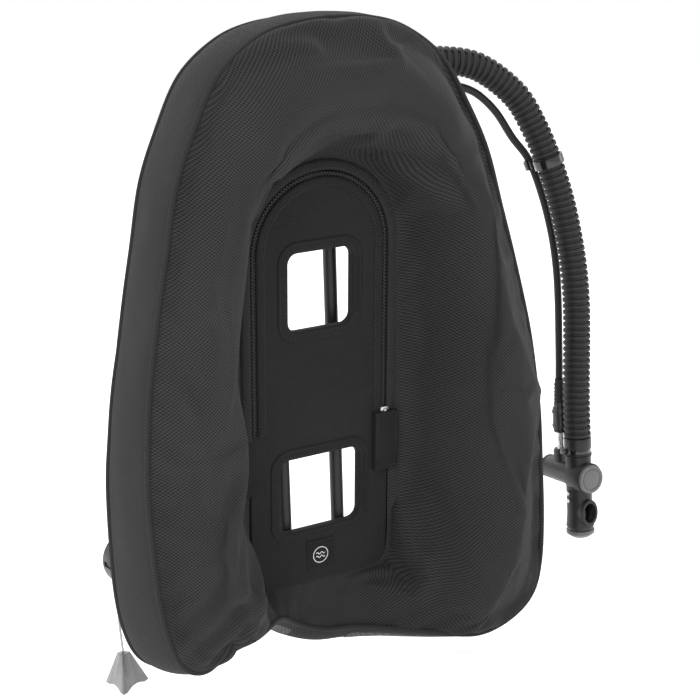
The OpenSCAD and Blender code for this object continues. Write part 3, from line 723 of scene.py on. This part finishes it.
def puff(o, pinned, cap):  # the cloth swells under air pressure, held along its seams
    rest = [v.co.copy() for v in o.data.vertices]
    group = o.vertex_groups.new(name="sewn")
    group.add(pinned, 1.0, "REPLACE")
    m = o.modifiers.new("air", "CLOTH")
    c = m.settings
    c.quality = 6
    c.mass = 0.35
    c.tension_stiffness = c.compression_stiffness = 18
    c.shear_stiffness = 6
    c.bending_stiffness = 0.6
    c.shrink_min = -0.035
    c.use_pressure = True
    c.uniform_pressure_force = 3.0
    c.vertex_group_mass = "sewn"
    c.effector_weights.gravity = 0
    m.collision_settings.use_collision = False
    m.point_cache.frame_end = 20
    for f in range(1, 21):
        scene.frame_set(f)
    swollen = o.evaluated_get(bpy.context.evaluated_depsgraph_get()).to_mesh()
    moved = [v.co.copy() for v in swollen.vertices]
    scene.frame_set(1)
    o.modifiers.clear()
    o.vertex_groups.clear()
    for v, a, b in zip(o.data.vertices, rest, moved):
        d = b-a
        v.co = a+(d if d.length <= cap else d*cap/d.length)
    o.data.update()


ringShell("frontCover", frontPoint, 44, "cover", -1, ["front_cover", "air_bladder"],
          frontFolds)
ringShell("rearCover", rearPoint, 30, "cover", 1, ["rear_cover"], rearFolds)
print("covers swollen")


def seamPath(line, depths, out):
    return [Vector((p.x+n.x*out, y, p.y+n.y*out))+cellShift for p, n, y in zip(line, seamNormals, depths)]


outDirs = [Vector((n.x, 0, n.y)) for n in seamNormals]
frontDirs = [Vector((0, -1, 0))]*around


def makeGusset():
    rows = 14
    verts, uvs, faces = [], [], []
    run = 0
    for i in range(around+1):
        k = i % around
        if i:
            run += (seamLine[k]-seamLine[i-1]).length
        for r in range(rows+1):
            t = r/rows
            c = seamLine[k].lerp(rearLine[k], t)
            y = frontY[k]+(rearY[k]-frontY[k])*t
            round_ = sin(pi*t)**0.6
            rumple = noise.noise(Vector((c.x*16, c.y*16, y*22)))*1.5*mm + \
                noise.noise(Vector((c.x*60, c.y*60, y*30)))*0.5*mm
            out = -1.2*mm+round_*(5.2*mm+rumple)
            n = seamNormals[k]
            verts.append(Vector((c.x+n.x*out, y, c.y+n.y*out))+cellShift)
            uvs.append((run, y))
    for i in range(around):
        for r in range(rows):
            a, b = i*(rows+1)+r, i*(rows+1)+r+1
            faces.append((a, b, b+rows+1, a+rows+1))
    o = newPiece("sideGusset", verts, faces, "cover", uvs=uvs)
    applyModifier(o, "WELD", merge_threshold=0.01*mm)
    bm = bmesh.new()
    bm.from_mesh(o.data)
    f = next(iter(bm.faces))
    centre = f.calc_center_median()
    if f.normal.dot(Vector((centre.x, 0, centre.z))) < 0:
        bmesh.ops.reverse_faces(bm, faces=bm.faces)
    bm.to_mesh(o.data)
    bm.free()
    applyModifier(o, "SUBSURF", levels=1, render_levels=1)
    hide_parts("side_gusset")
    return o


gusset = makeGusset()
for end, line, y, node in (("front", seamLine, frontY, "front_piping"), ("rear", rearLine, rearY, "rear_piping")):
    pipe = sweep(end+"Piping", seamPath(line, y, -1.0*mm), outDirs, frontDirs, roundProfile(2.7*mm, 12),
                 "piping", closed=True)
    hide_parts(node)
print("gusset and piping made")

# centre panel
slots = {"pitch": 0.204, "upper": 0.070, "lower": 0.088, "height": 0.076, "corner": 10*mm, "band": 11*mm}
panel = {"half": 0.078, "grid": 3*mm, "cover": 6*mm}


def inSlot(x, z, grow):
    for centre, width in ((slots["pitch"]/2, slots["upper"]), (-slots["pitch"]/2, slots["lower"])):
        dx, dz = abs(x)-width/2-grow+slots["corner"], abs(z-centre)-slots["height"]/2-grow+slots["corner"]
        if max(dx, dz) < 0 or sqrt(max(dx, 0)**2+max(dz, 0)**2) < slots["corner"]:
            return True
    return False


def panelRelief(x, z):  # quilting between the sewn lines: flat at the bindings, soft between them
    fold = noise.noise(Vector((x*24, z*16, 1.7)))*1.9+noise.noise(Vector((x*60, z*48, 5.2)))*0.7
    near = 1.0
    for centre, width in ((slots["pitch"]/2, slots["upper"]), (-slots["pitch"]/2, slots["lower"])):
        dx, dz = abs(x)-width/2, abs(z-centre)-slots["height"]/2
        near = min(near, max(0, (max(dx, dz)-slots["band"])/0.02))
    near = min(near, max(0, (0.066-abs(x))/0.02))
    return fold*mm*min(1, near)


def makePanel(name, y0, out, half, finish, node, relief):
    xs = [-half+2*half*k/52 for k in range(53)]
    low, high = cell["foot"]-1*mm, cell["arch"]+half
    count = round((high-low)/panel["grid"])
    verts, uvs, faces, keep = [], [], [], {}
    for r in range(count+1):
        z = low+(high-low)*r/count
        for c, x in enumerate(xs):
            keep[(r, c)] = len(verts)
            lift = panelRelief(x, z) if relief else 0
            verts.append(tilted(x, y0-lift*out, z))
            uvs.append((x, z))
    for r in range(count):
        for c in range(52):
            x, z = (xs[c]+xs[c+1])/2, low+(high-low)*(r+0.5)/count
            if inSlot(x, z, panel["cover"]) or (z > cell["arch"] and sqrt(x*x+(z-cell["arch"])**2) > half-1*mm):
                continue
            q = (keep[(r, c)], keep[(r, c+1)], keep[(r+1, c+1)], keep[(r+1, c)])
            faces.append(q if out > 0 else q[::-1])
    o = newPiece(name, verts, faces, finish, uvs=uvs)
    bm = bmesh.new()
    bm.from_mesh(o.data)
    bmesh.ops.delete(bm, geom=[v for v in bm.verts if not v.link_faces], context="VERTS")
    bm.to_mesh(o.data)
    bm.free()
    applyModifier(o, "SOLIDIFY", thickness=1.2*mm, offset=-1)
    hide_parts(node)
    return o


# both centre panels take the panel weave, which is painted darker as shade for the recess
frontPanel = makePanel("centrePanelFront", -2*mm, 1, panel["half"]-1*mm, "panel", "centre_panel", True)
rearPanel = makePanel("centrePanelRear", 5*mm, -1, panel["half"]+5*mm, "panel", "rear_panel", True)
print("panels made")


def slotLine(width, centre, grow, steps=10):
    r = slots["corner"]+grow
    w, h = width/2+grow-r, slots["height"]/2+grow-r
    pts = []
    for q, (sx, sz) in enumerate(((1, 1), (-1, 1), (-1, -1), (1, -1))):
        for k in range(steps+1):
            a = pi/2*(q+k/steps)
            pts.append((sx*w+r*cos(a), centre+sz*h+r*sin(a)))
    return pts


# tape folded over the slot's edge: flat wing at the front, turned through, flat wing at the back
def makeBinding(name, width, centre, node):
    wing, front, back = slots["band"], -3.2*mm, 6.2*mm
    profile = [(wing, front+1.25*mm), (wing, front+0.3*mm), (wing-0.5*mm, front), (1.6*mm, front-0.35*mm),
               (0.5*mm, front+0.3*mm), (0, front+1.2*mm), (0, back-1.2*mm), (0.5*mm, back-0.3*mm),
               (1.6*mm, back+0.2*mm), (wing-0.5*mm, back), (wing, back-0.3*mm), (wing, back-1.25*mm),
               (1.6*mm, back-1.4*mm), (1.5*mm, front+1.4*mm)]
    verts, uvs, faces = [], [], []
    rings = [slotLine(width, centre, g) for g, _ in profile]
    n, k = len(rings[0]), len(profile)
    run = 0
    for i in range(n):
        if i:
            run += (Vector(rings[0][i])-Vector(rings[0][i-1])).length
        girth = 0
        for j in range(k):
            x, z = rings[j][i]
            if j:
                girth += (Vector(profile[j])-Vector(profile[j-1])).length
            verts.append(tilted(x, profile[j][1], z))
            uvs.append((run, girth))
    for i in range(n):
        for j in range(k):
            a, b = i*k+j, i*k+(j+1) % k
            faces.append((a, b, ((i+1) % n)*k+(j+1) % k, ((i+1) % n)*k+j))
    o = newPiece(name, verts, faces, "binding", uvs=uvs)
    turnOut(o)
    applyModifier(o, "BEVEL", width=0.25*mm, segments=2, limit_method="ANGLE", angle_limit=radians(40))
    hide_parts(node)
    for grow, tag in ((2.6*mm, "Inner"), (8.8*mm, "Outer")):
        loop = [tilted(x, -3.45*mm, z) for x, z in slotLine(width, centre, grow)]
        loop.append(loop[0])
        dashes(name+"Stitch"+tag, loop, acrossLine(loop, panelOut), [panelOut]*len(loop), 3.4*mm, 2.4*mm, 0.8*mm,
               0.45*mm, "thread")
    return o


makeBinding("upperSlotBinding", slots["upper"], slots["pitch"]/2, "slot_binding_upper")
makeBinding("lowerSlotBinding", slots["lower"], -slots["pitch"]/2, "slot_binding_lower")
print("bindings made")


# zip
zipper = {"mid": 0.072, "low": -0.036, "tooth": 1.7*mm, "patchTop": -0.032, "patchLow": -0.092}


def archPath(half, low, spacing, y):
    pts = [Vector((-half, low, 0))]
    steps = 60
    pts += [Vector((-half*cos(pi*k/steps), cell["arch"]+half*sin(pi*k/steps), 0)) for k in range(steps+1)]
    pts.append(Vector((half, low, 0)))
    pts = evenly(pts, spacing)
    line = [tilted(p.x, y, p.y) for p in pts]
    sides = []
    for i in range(len(line)):
        t = (line[min(i+1, len(line)-1)]-line[max(i-1, 0)]).normalized()
        sides.append(panelOut.cross(t).normalized())
    return line, sides


def makeZip():
    line, sides = archPath(zipper["mid"], zipper["low"], 3*mm, 0.8*mm)
    ups = [panelOut]*len(line)
    tape = sweep("zipTape", line, sides, ups, [(-12*mm, 0), (-12*mm, 0.8*mm), (12*mm, 0.8*mm), (12*mm, 0)],
                 "welt")
    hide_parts("zip_tape")
    teethLine, teethSides = archPath(zipper["mid"], zipper["low"], zipper["tooth"], -1.6*mm)
    verts, faces = [], []
    for i, p in enumerate(teethLine):
        t = teethSides[i].cross(panelOut)
        hand = 1 if i % 2 else -1
        base = len(verts)
        for a, b, c in ((-0.3, -0.5, 0), (0.3, -0.5, 0), (0.42, 1, 0.1), (-0.42, 1, 0.1),
                        (-0.25, -0.4, 1), (0.25, -0.4, 1), (0.35, 0.85, 1), (-0.35, 0.85, 1)):
            verts.append(p+t*a*2*zipper["tooth"]*0.82+teethSides[i]*hand*b*2.6*mm+panelOut*c*1.5*mm)
        for f in ((0, 3, 2, 1), (4, 5, 6, 7), (0, 1, 5, 4), (1, 2, 6, 5), (2, 3, 7, 6), (3, 0, 4, 7)):
            faces.append(tuple(base+v for v in f))
    teeth = newPiece("zipTeeth", verts, faces, "teeth")
    turnOut(teeth)
    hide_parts("zip_teeth")
    for half, tag, wide in ((0.0655, "Inner", -1), (0.0785, "Outer", 1)):
        edge, across = archPath(half, zipper["low"], 3*mm, -2*mm)
        profile = [(-3.2*mm*wide, 0), (-3.4*mm*wide, 0.8*mm), (-2.4*mm*wide, 1.7*mm), (0, 1.9*mm),
                   (3*mm*wide, 1.2*mm), (6.5*mm*wide, 0.25*mm), (6.5*mm*wide, -0.6*mm), (0, -0.6*mm)]
        # the inner welt on the panel side takes the panel weave with its painted shade
        sweep("zipWelt"+tag, edge, across, [panelOut]*len(edge), profile, "panel" if wide < 0 else "cover")
        sewn, sewnSides = archPath(half+wide*4.2*mm, zipper["low"]-0.05, 3*mm, -3.1*mm)
        dashes("zipStitch"+tag, sewn, sewnSides, [panelOut]*len(sewn), 3.6*mm, 2.4*mm, 0.8*mm, 0.5*mm, "thread")


makeZip()
print("zip made")

label = {"low": -0.1848, "high": -0.1538, "ring": 8.2*mm, "line": 0.9*mm}


def makeLabelMark():  # a plain ring and two waves woven into the label
    centre = (label["low"]+label["high"])/2-1*mm
    loop = [tilted(label["ring"]*cos(2*pi*k/40), -3.12*mm, centre+label["ring"]*sin(2*pi*k/40)) for k in range(41)]
    pieces = []
    waves = [[tilted(x*mm, -3.12*mm, centre+h*mm+1.1*mm*sin(x*1.25)) for x in range(-5, 6)] for h in (-2, 1.8)]
    for line in [loop]+waves:
        w = label["line"]/2
        pieces.append(sweep("labelLine", line, acrossLine(line, panelOut), [panelOut]*len(line),
                            [(-w, 0), (w, 0), (w, 0.12*mm), (-w, 0.12*mm)], "mark"))
    return joinInto("labelMark", pieces)


def boxStitch(name, corners, y, finish):
    line = [tilted(x, y, z) for x, z in corners]
    path = []
    for a, b in zip(line, line[1:]):
        path += [a.lerp(b, k/12) for k in range(12)]
    path.append(line[-1])
    return dashes(name, path, acrossLine(path, panelOut), [panelOut]*len(path), 3.2*mm, 2.2*mm, 0.8*mm,
                  0.45*mm, finish)


makeLabelMark()
boxStitch("labelStitch", [(-0.0145, label["high"]-1.6*mm), (0.0145, label["high"]-1.6*mm)], -3.1*mm, "thread")
for at, depth, tag in ((zipper["mid"], -9.5*mm, "Garage"), (-zipper["mid"], -3.5*mm, "Start")):
    boxStitch("zip"+tag+"Stitch", [(at-10.5*mm, -0.036), (at-10.5*mm, -0.0885), (at+10.5*mm, -0.0885),
                                   (at+10.5*mm, -0.036)], depth, "thread")
print("label and box stitches made")

# CAD pieces that keep their shape, with moulded edges
plainParts = [  # node, finish, slot, edge, body
    ("zip_slider", "steel", "zip_metal", 0.5*mm, "zip_runner"),
    ("zip_garage", "strap", "cover_cloth", 1.2*mm, "cell"),
    ("zip_start_patch", "strap", "cover_cloth", 0.5*mm, "cell"),
    ("maker_label", "label", "label_cloth", 0.3*mm, "cell"),
    ("drain_mesh", "mesh", "drain_mesh", 0, "cell"),
    ("stabiliser_rails", "plastic", "black_plastic", 0, "cell"),
    ("rail_sleeves", "strap", "binding_tape", 0.6*mm, "cell"),
    ("rail_end_caps", "plastic", "black_plastic", 0.5*mm, "cell"),
    ("elbow_flange", "plastic", "black_plastic", 0.8*mm, "cell"),
    ("elbow_gasket", "rubber", "rubber", 0.3*mm, "cell"),
    ("elbow_nut", "plastic", "black_plastic", 0.8*mm, "cell"),
    ("hose_elbow", "plastic", "black_plastic", 1.4*mm, "cell"),
    ("hose_ties", "tie", "tie_plastic", 0.5*mm, "cell"),
    ("hose_band", "tie", "tie_plastic", 1.0*mm, "cell"),
    ("lp_strain_relief", "rubber", "rubber", 0.5*mm, "cell"),
    ("lp_socket", "darkMetal", "steel", 0.4*mm, "cell"),
    ("qd_sleeve", "darkMetal", "sleeve_metal", 0.5*mm, "lp_sleeve"),
    ("lp_end_fitting", "steel", "steel", 0.4*mm, "cell"),
    ("inflator_collar", "plastic", "black_plastic", 0.8*mm, "cell"),
    ("collar_band", "tie", "tie_plastic", 0.5*mm, "cell"),
    ("collar_rings", "plastic", "black_plastic", 0.4*mm, "cell"),
    ("inflator_body", "plastic", "black_plastic", 0.9*mm, "cell"),
    ("nipple", "steel", "steel", 0.3*mm, "cell"),
    ("inflate_button", "greyPlastic", "grey_plastic", 0.9*mm, "inflate_plunger"),
    ("valve_cap", "plastic", "black_plastic", 0.8*mm, "cell"),
    ("body_screws", "steel", "steel", 0.4*mm, "cell"),
    ("mouthpiece", "plastic", "black_plastic", 0.7*mm, "cell"),
    ("deflate_button", "greyPlastic", "grey_plastic", 0.8*mm, "deflate_plunger"),
    ("deflate_spring", "steel", "steel", 0.2*mm, "cell"),
    ("dump_base", "plastic", "black_plastic", 0.8*mm, "cell"),
    ("dump_gasket", "rubber", "rubber", 0.3*mm, "cell"),
    ("dump_valve_plate", "plastic", "black_plastic", 0.5*mm, "dump_plate"),
    ("dump_spring", "steel", "steel", 0.2*mm, "cell"),
    ("dump_cap", "plastic", "black_plastic", 1.0*mm, "cell"),
    ("dump_knob", "knob", "knob_plastic", 2.2*mm, "dump_pull"),
]
made = {}
for node, finish, slot, edge, body in plainParts:
    made[node] = softened(node, finish, edge, body)

# the springs get meshes of their own
springs = [  # node, joint, axis, fixed end, length, travel
    ("dump_spring", "dump_plate_lift", (0, 1, 0), (-0.185, 0.052, -0.140), 18*mm, 4*mm),
    ("deflate_spring", "deflate_press", (0, 0, 1), (0.302, -0.012, -0.1825), 12*mm, 3.5*mm),
]
for node, joint, axis, fixed, length, travel in springs:
    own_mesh(made[node])
print("mouldings made")

evenly(hoseLine, 5*mm)
pathLength(supplyLine)
pathLength(cordLine)


# floor
def makeFloor():
    bpy.ops.mesh.primitive_plane_add(size=12, location=(0, 0, -0.30))
    o = bpy.context.object
    o.name = "floor"
    f = Finish("paleFloor")
    f.set(Base_Color=grey(0.92), Roughness=0.9, Emission_Color=(1, 1, 1, 1), Emission_Strength=0.45)
    o.data.materials.append(f.mat)


makeFloor()
print("scene complete")
